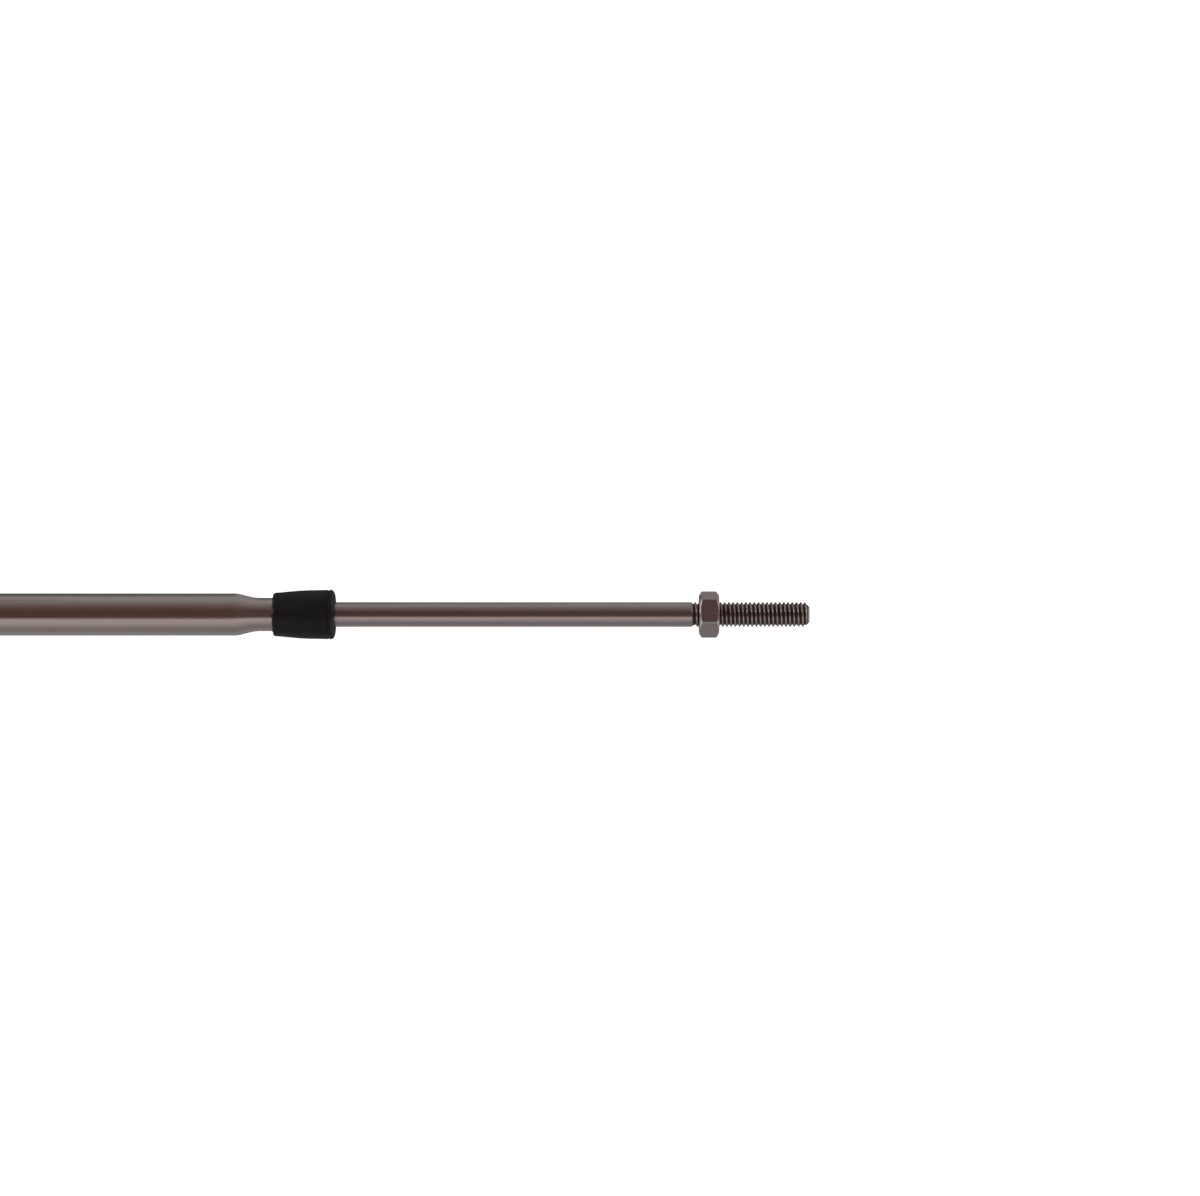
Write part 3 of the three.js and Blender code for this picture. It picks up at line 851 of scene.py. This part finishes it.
def jacket_material():
    """The conduit's extruded black jacket: fine die marks along it, a slow change of sheen, and rubbed
    patches that are longer than they are wide."""
    material = bpy.data.materials.new("conduit_jacket")
    tree = Tree(material)
    scuffs = tree.lay_noise((90, 260, 260), 6.0, 0.65)
    die = tree.lay_noise((8, 1500, 1500), 3.0, 0.6)
    fine = tree.lay_noise((1800, 1800, 1800), 3.0, 0.6)
    slow = tree.lay_noise((16, 60, 60), 2.0)
    rubbed = scuffs.between(0.58, 0.75)
    base = tree.mix(rubbed * 0.5, colour(0.011, 0.011, 0.012), colour(0.032, 0.032, 0.033))
    base = tree.mix(slow.between(0.35, 0.65) * 0.4, base, colour(0.018, 0.018, 0.02))
    roughness = 0.36 + rubbed * 0.2 + fine * 0.05 + slow * 0.08
    normal = tree.bump(die * 0.5 + fine * 0.2 + scuffs * 0.3, 0.2, 0.06 * MM)
    tree.surface({"Base Color": base, "Roughness": roughness, "Normal": normal, "Specular IOR Level": 0.45})
    return material


def nylon_material():
    """Black moulded nylon with a fine grain and a few scratches."""
    material = bpy.data.materials.new("tie_nylon")
    tree = Tree(material)
    grain = tree.object_noise((2200, 2200, 2200), 3.0, 0.6)
    scratches = tree.object_noise((1600, 150, 150), 4.0, 0.6)
    scratched = scratches.between(0.6, 0.75)
    base = tree.mix(scratched * 0.4, colour(0.01, 0.01, 0.011), colour(0.03, 0.03, 0.031))
    roughness = 0.36 + grain * 0.12 + scratched * 0.1
    normal = tree.bump(grain * 0.6 + scratches * 0.4, 0.25, 0.05 * MM)
    tree.surface({"Base Color": base, "Roughness": roughness, "Normal": normal})
    return material


def make_end(end, steel, rubber):
    """All pieces of one end, each in its node's place and each but the rubber boot on its body."""

    def piece(name, surface, material, body, part, slot, sharp):
        return make_piece(f"{end.side}_{name}", [surface(end)], material, body, end.node(part), slot, sharp)

    piece("threaded_rod", rod_surface, steel["rod"], end.slider, "rod", "rod_steel", 40)
    piece("hex_nut", nut_surface, steel["nut"], end.slider, "nut", "nut_steel", 62)
    piece("rubber_wiper", wiper_surface, rubber["wiper"], end.sleeve, "wiper", "wiper_rubber", 60)
    piece("support_tube", tube_surface, steel["tube"], end.sleeve, "tube", "tube_steel", 40)
    piece("clamp_hub", hub_surface, steel["hub"], "cable", "hub", "hub_steel", 40)
    boot = piece("rubber_boot", boot_surface, rubber["boot"], None, "boot", "boot_rubber", 60)
    back, front = end.span("boot")
    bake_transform(boot)


def make_floor():
    """A wide pale floor at the height that the cable rests on. Polished steel doesn't mirror it: the world
    gives what the steel sees from below."""
    low = CAD_BOX[0][2]
    size = 6.0
    corners = [(-size, -size, low), (size, -size, low), (size, size, low), (-size, size, low)]
    mesh = bpy.data.meshes.new("floor")
    mesh.from_pydata(corners, [], [(0, 1, 2, 3)])
    material = bpy.data.materials.new("floor_white")
    tree = Tree(material)
    shade = tree.add("ShaderNodeBsdfDiffuse", {}, {"Color": colour(0.9, 0.9, 0.9)})
    glow = tree.add("ShaderNodeEmission", {}, {"Color": colour(1, 1, 1), "Strength": 0.92})
    tree.add("ShaderNodeOutputMaterial", {}, [tree.add("ShaderNodeAddShader", {}, [shade, glow])])
    mesh.materials.append(material)
    floor = bpy.data.objects.new("floor", mesh)
    bpy.context.collection.objects.link(floor)
    floor.visible_glossy = False


def make_world():
    """Studio surroundings by direction, as the steel mirrors them. With u = atan2(y, z) in degrees, a warm
    dark ceiling is overhead, browner to the left. A bright panel starts sharply on its -Y side and fades
    downwards, and a soft grey wall rises on its +Y side. Straight down it is darker, and low along X it is
    the pale table. The camera itself sees plain white."""
    world = bpy.data.worlds.new("studio")
    bpy.context.scene.world = world
    tree = Tree(world)
    x, y, z = tree.split(tree.add("ShaderNodeTexCoord", {}, (), 0))
    turn = y.math("ARCTAN2", z) * (180 / math.pi)
    away = 0.0 - turn
    rightward = x.between(-0.16, 0.02)
    wall_rise = turn.between(20, 100, 0.0, 0.36)
    wall_fall = turn.between(100, 140, 0.0, 0.24) * (1.0 - rightward * 0.7)
    wall_foot = turn.between(145, 178, 0.0, 0.05)
    panel_edge = away.between(17, 28, 0.0, 0.45)
    panel_fade = away.between(34, 88, 0.0, 0.2)
    low_glow = away.between(95, 125, 0.0, 0.08)
    panel_foot = away.between(140, 178, 0.0, 0.22)
    wall = wall_rise - wall_fall - wall_foot
    panel = panel_edge - panel_fade + low_glow - panel_foot
    neutral = tree.mix(wall + panel, colour(0.0, 0.0, 0.0), colour(1.0, 0.96, 0.95))
    overhead = turn.math("ABSOLUTE").between(30, 90, 1.0, 0.0)
    ceiling = tree.mix(rightward, colour(0.1, 0.05, 0.039), colour(0.106, 0.068, 0.06))
    dark = tree.mix(overhead, colour(0, 0, 0), ceiling)
    sky = tree.add("ShaderNodeVectorMath", {"operation": "ADD"}, [neutral, dark])
    table = x.math("ABSOLUTE").between(0.62, 0.88) * z.between(-0.1, 0.4, 1.0, 0.0)
    sky = tree.mix(table, sky, colour(0.9, 0.87, 0.86))
    mirrored = tree.add("ShaderNodeBackground", {}, {"Color": sky, "Strength": 1.0})
    seen = tree.add("ShaderNodeBackground", {}, {"Color": colour(1, 1, 1), "Strength": 1.0})
    by_camera = tree.add("ShaderNodeLightPath", {}, (), 0)
    shown = tree.add("ShaderNodeMixShader", {}, [by_camera, mirrored, seen])
    tree.add("ShaderNodeOutputWorld", {}, [shown])


def area_light(name, size, energy, location):
    """A rectangular lamp that faces straight down."""
    data = bpy.data.lights.new(name, "AREA")
    data.shape = "RECTANGLE"
    data.size, data.size_y = size
    data.energy = energy
    lamp = bpy.data.objects.new(name, data)
    lamp.location = location
    bpy.context.collection.objects.link(lamp)
    return lamp


def make_lights():
    """A large soft lamp overhead that lights the rubber and the floor but that the steel doesn't mirror, and
    a small bright window to the upper left that it does."""
    lamp = area_light("soft_light", (1.6, 1.2), 3, (-0.1, 0.25, 1.3))
    lamp.rotation_euler = (math.radians(-11), 0, 0)
    lamp.visible_glossy = False
    window = area_light("window_light", (0.35, 0.5), 2.2, (-0.95, 0.42, 0.42))
    aim = Vector((-0.05, 0, 0)) - window.location
    window.rotation_euler = aim.to_track_quat("-Z", "Y").to_euler()


def set_tones():
    """Colours go to the picture as they are, without a film curve."""
    bpy.context.scene.view_settings.view_transform = "Standard"


make_camera()
near_end, far_end = End("near"), End("far")

jacket = jacket_material()
line = conduit_line()
conduit = make_piece("conduit", [conduit_surface(line)], jacket, "cable", None, "conduit_jacket", 60)
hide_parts("conduit_near_lead", "conduit_hank", "conduit_far_lead")
lay_along(conduit.data, line)
ties = make_ties(nylon_material())
hub_back = near_end.span("hub")[0] + near_end.axis[0]

steel = {
    "rod": thread_steel("rod_steel", (0.565, 0.505, 0.5), 0.21),
    "nut": steel_material("nut_steel", (0.58, 0.52, 0.515), 0.3, 0.6),
    "tube": steel_material("tube_steel", (0.625, 0.56, 0.535), 0.18),
    "hub": steel_material("hub_steel", (0.60, 0.56, 0.53), 0.27, 0.7),
}
rubber = {"wiper": rubber_material("wiper_rubber"), "boot": rubber_material("boot_rubber", 0.8)}
for end in (near_end, far_end):
    make_end(end, steel, rubber)

make_floor()
make_world()
make_lights()
set_tones()
